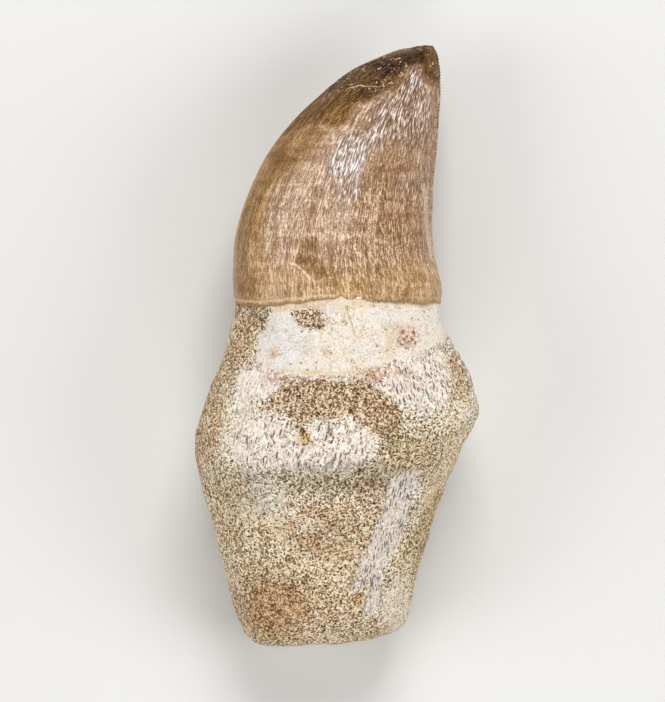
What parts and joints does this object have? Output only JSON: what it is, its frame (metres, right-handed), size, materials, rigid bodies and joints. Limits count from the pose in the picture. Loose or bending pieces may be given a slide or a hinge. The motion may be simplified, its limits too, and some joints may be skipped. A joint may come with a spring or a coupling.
{
  "type": "fossil mosasaur tooth",
  "caption": "Rooted fossil mosasaur tooth lying on its side: curved enamelled crown on a swollen bony root.",
  "frame": {"origin": "middle of the tooth's outline seen from above, on the surface that it rests on", "axes": "+Y from the root's end towards the crown's tip, +X towards the hind cutting edge, +Z away from the surface that it rests on"},
  "size_m": [0.0452, 0.0968, 0.0333],
  "materials": {
    "tooth": "satin brown enamel on the crown, matt sandy and porous fossil bone on the root"
  },
  "bodies": {
    "root": {"tooth": "tooth"}
  },
  "joints": []
}
